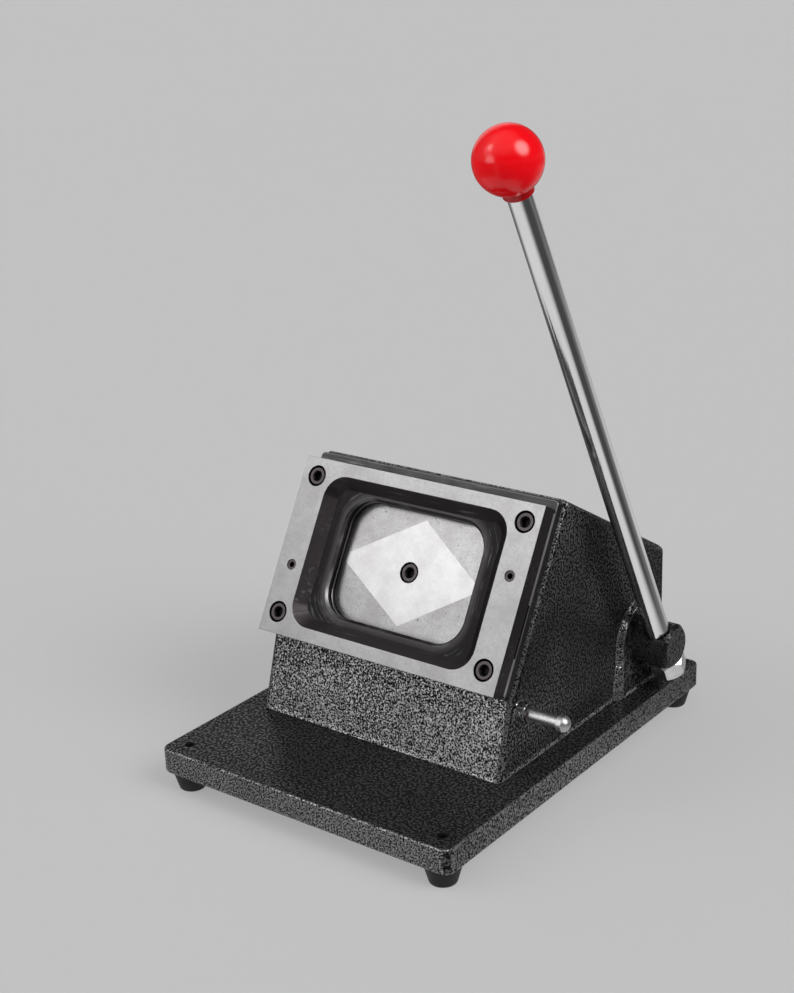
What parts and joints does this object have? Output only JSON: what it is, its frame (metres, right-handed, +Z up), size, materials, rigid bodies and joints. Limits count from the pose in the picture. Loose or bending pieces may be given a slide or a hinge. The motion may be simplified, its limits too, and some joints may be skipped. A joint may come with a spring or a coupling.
{
  "type": "badge cutter",
  "caption": "Desk badge cutter: a ball-ended lever turns an eccentric shaft that drives a punch through the window of an inclined die plate on a cast body and base.",
  "frame": {"origin": "on the ground under the middle of the whole object's bounding box, with the feet's undersides at Z = 0", "axes": "+Z up, -Y to the front where the user stands and the die plate faces, +X to the user's right where the lever is"},
  "size_m": [0.2226, 0.2722, 0.3864],
  "materials": {
    "hammer_paint": "black hammertone paint on steel plate",
    "cast_paint": "black hammertone paint on cast iron",
    "black_oxide": "black oxide, lightly oiled",
    "ground_steel": "ground and lightly brushed",
    "polished_steel": "polished bright steel",
    "zinc_steel": "bright zinc plate",
    "bronze": "turned bearing bronze",
    "black_rubber": "matt moulded rubber",
    "red_plastic": "glossy moulded phenolic"
  },
  "bodies": {
    "frame": {"base_plate": "hammer_paint", "rubber_feet": "black_rubber", "foot_washers": "zinc_steel", "foot_screws": "zinc_steel", "body_casting": "cast_paint", "body_bolts": "black_oxide", "back_plate": "black_oxide", "slot_spacers": "ground_steel", "die_plate": "ground_steel", "die_screws": "black_oxide", "dowel_pins": "ground_steel", "guide_sleeve": "bronze", "guide_key": "ground_steel", "bearing_bush_left": "bronze", "bearing_bush_right": "bronze", "stop_pin": "polished_steel", "stop_washer": "black_oxide"},
    "lever": {"eccentric_shaft": "black_oxide", "shaft_rings": "zinc_steel", "lever_rod": "polished_steel", "lever_nut": "zinc_steel", "ball_knob": "red_plastic", "knob_insert": "bronze"},
    "ram": {"ram": "ground_steel", "push_pad": "black_oxide", "retract_hook": "ground_steel", "hook_bolts": "black_oxide", "punch": "ground_steel", "punch_screw": "black_oxide", "punch_dowels": "ground_steel"}
  },
  "joints": [
    {"name": "lever_swing", "type": "hinge", "parent": "frame", "child": "lever", "pos_m": [0.0938, 0.08558, 0.0591], "axis": [1, 0, 0], "range_deg": [0, 56]},
    {"name": "punch_slide", "type": "slide", "parent": "frame", "child": "ram", "axis": [0, -0.866, 0.5], "range_m": [0, 0.00518]}
  ],
  "couplings": [
    {"joint": "punch_slide", "follows": "lever_swing", "m_per_rad": 0.0052837}
  ]
}
